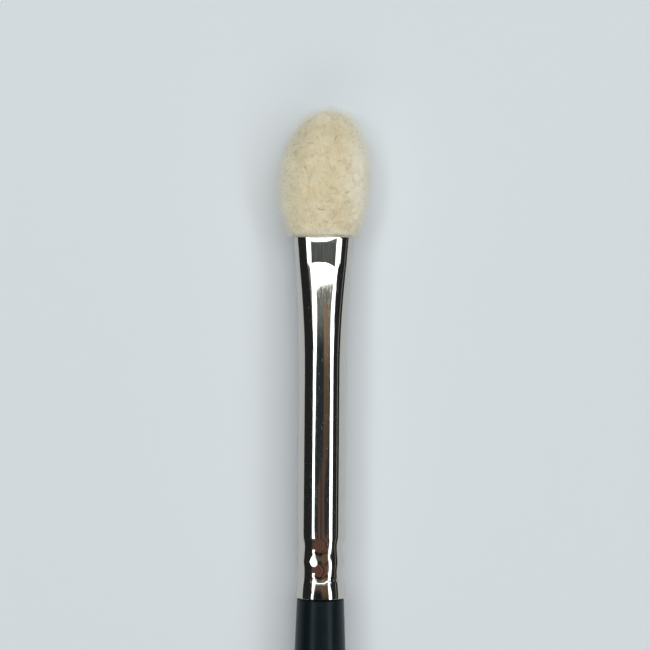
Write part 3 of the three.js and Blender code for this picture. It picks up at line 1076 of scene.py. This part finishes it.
def pileTree(name, material):
    inputs = {label: int if label == "Seed" else float for label in pileLayers[name]}
    tree = newTree(name, {"Geometry": bpy.types.Mesh, **inputs})
    g = Graph(tree)
    b = fibreBuild
    entry = g.add("NodeGroupInput")
    seed = entry.out("Seed")
    length = entry.out("Length")
    place = g.add("GeometryNodeInputPosition")

    def chance(low, high, offset):
        return g.add("FunctionNodeRandomValue", {"data_type": "FLOAT"}, {
            "Min": low, "Max": high, "Seed": seed + offset}, out="Value")

    def store(geometry, label, value, domain, kind="FLOAT"):
        return g.add("GeometryNodeStoreNamedAttribute", {"data_type": kind, "domain": domain}, {
            "Geometry": geometry, "Name": label, "Value": value})

    def stored(label):
        return g.add("GeometryNodeInputNamedAttribute", {"data_type": "FLOAT"}, {
            "Name": label}, out="Attribute")

    # one fibre, a bent and tapered strand of unit length
    middle, end = b["bend"]
    spine = g.add("GeometryNodeCurveQuadraticBezier", {}, {
        "Resolution": b["segments"], "Start": (0, 0, 0), "Middle": middle, "End": end})
    way = g.add("GeometryNodeSplineParameter", out="Factor")
    spine = store(spine, "along", way, "POINT")
    outline = g.add("GeometryNodeCurvePrimitiveCircle", {}, {
        "Resolution": b["sides"], "Radius": entry.out("Thickness") / length / 2})
    side = g.add("GeometryNodeSplineParameter", out="Index")
    outline = store(outline, "across", side / (b["sides"] - 1), "POINT")
    strand = g.add("GeometryNodeCurveToMesh", {}, {
        "Curve": spine, "Profile Curve": outline, "Scale": 1 - (1 - b["tip"]) * way, "Fill Caps": True})

    # fibres stood on the cover, lifted, and laid over at random
    points = g.add("GeometryNodeDistributePointsOnFaces", {"distribute_method": "RANDOM"}, {
        "Mesh": entry, "Density": entry.out("Density"), "Seed": seed})
    tuft = g.add("ShaderNodeTexNoise", {}, {"Vector": place, "Scale": b["tuftPitch"], "Detail": 1.0})
    least, more = b["tuftSizes"]
    size = chance(*b["sizes"], 1) * length * (least + more * tuft)
    stood = g.add("GeometryNodeInstanceOnPoints", {}, {
        "Points": points, "Instance": strand, "Rotation": points.out("Rotation"), "Scale": size})
    lifted = g.add("GeometryNodeTranslateInstances", {}, {
        "Instances": stood, "Local Space": True,
        "Translation": g.add("ShaderNodeCombineXYZ", {}, {"Z": entry.out("Lift")})})
    swing = g.add("ShaderNodeCombineXYZ", {}, {
        "X": chance(entry.out("Stand"), entry.out("Lay"), 2), "Z": chance(-math.pi, math.pi, 4)})
    laid = g.add("GeometryNodeRotateInstances", {}, {
        "Instances": lifted, "Rotation": swing, "Local Space": True})
    tinted = store(laid, "fibreTint", chance(0.0, 1.0, 3), "INSTANCE")
    counted = store(tinted, "fibreNumber", g.add("GeometryNodeInputIndex"), "INSTANCE")
    real = g.add("GeometryNodeRealizeInstances", {}, {"Geometry": counted})

    # curl the free ends, and keep them off the table and the tube
    stir = g.add("ShaderNodeTexNoise", {}, {
        "Vector": place, "Scale": b["curlPitch"], "Detail": 1.0}, out="Color")
    stir = g.add("ShaderNodeVectorMath", {"operation": "SUBTRACT"}, {0: stir, 1: (0.5, 0.5, 0.5)})
    stir = g.add("ShaderNodeVectorMath", {"operation": "SCALE"}, {
        0: stir, "Scale": stored("along") * entry.out("Curl") * b["curlGain"]})
    curled = g.add("GeometryNodeSetPosition", {}, {"Geometry": real, "Offset": stir})
    apart = g.add("ShaderNodeSeparateXYZ", {}, {0: place}, out="X")
    height = g.add("ShaderNodeMath", {"operation": "MAXIMUM"}, {0: apart.out("Z"), 1: b["tableGap"]})
    mouth = rearY + mouthY * mm + b["mouthGap"]
    ahead = g.add("ShaderNodeMath", {"operation": "MAXIMUM"}, {0: apart.out("Y"), 1: mouth})
    raised = g.add("ShaderNodeCombineXYZ", {}, {"X": apart, "Y": ahead, "Z": height})
    clear = g.add("GeometryNodeSetPosition", {}, {"Geometry": curled, "Position": raised})

    # map for baking, with a cell to each fibre
    cells = b["bakeColumns"]
    margin = b["bakeMargin"]
    number = stored("fibreNumber")
    column = g.add("ShaderNodeMath", {"operation": "MODULO"}, {0: number, 1: cells})
    row = g.add("ShaderNodeMath", {"operation": "FLOOR"}, {0: number / cells})
    spot = g.add("ShaderNodeCombineXYZ", {}, {
        "X": (column + margin + (1 - 2 * margin) * stored("across")) / cells,
        "Y": (row + margin + (1 - 2 * margin) * stored("along")) / cells})
    mapped = store(clear, "OFBake", spot, "CORNER", "FLOAT2")
    dressed = g.add("GeometryNodeSetMaterial", {}, {"Geometry": mapped, "Material": material})
    g.add("NodeGroupOutput", {}, {"Geometry": dressed})
    return tree


def addPile():
    finishes = {kind: newFinish(kind + "Fibre", fibreFinish(look)) for kind, look in fibreLook.items()}
    for name, values in pileLayers.items():
        kind = "hair" if name == "pile_hairs" else "pile"
        piece = pieceFromTree(name, pileTree(name, finishes[kind]), values, pileSeat.copy())
        piece.visible_shadow = name in ("pile_under", "pile_hairs")  # light passes between the others
        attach(piece, "root")
        piece.data.calc_loop_triangles()
        print(name, len(piece.data.loop_triangles), "triangles")


addPile()

# pieces inside the tube, carried over from the frame
innerLook = {
    "tenon_glue": {"color": (0.66, 0.54, 0.25, 1), "dark": (0.52, 0.40, 0.16, 1), "roughness": 0.3},
    "adhesive_plug": {"color": (0.70, 0.61, 0.42, 1), "dark": (0.60, 0.50, 0.30, 1), "roughness": 0.2},
    "core_stem": {"color": (0.79, 0.77, 0.70, 1), "dark": (0.70, 0.68, 0.60, 1), "roughness": 0.45},
}
innerCloud = {"scale": (900, 500, 900), "depth": 6e-6, "roughness": 0.15}


def innerFinish(look):
    def build(g):
        cloud = g.grain(innerCloud["scale"], detail=3)
        return g.add("ShaderNodeBsdfPrincipled", {}, {
            "Base Color": g.blend(cloud, look["color"], look["dark"]),
            "Roughness": look["roughness"] + innerCloud["roughness"] * cloud,
            "Normal": g.bump(cloud, innerCloud["depth"])})
    return build


for node, look in innerLook.items():
    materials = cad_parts[node].data.materials
    materials.clear()
    materials.append(newFinish(node, innerFinish(look)))
print("inner pieces dressed")
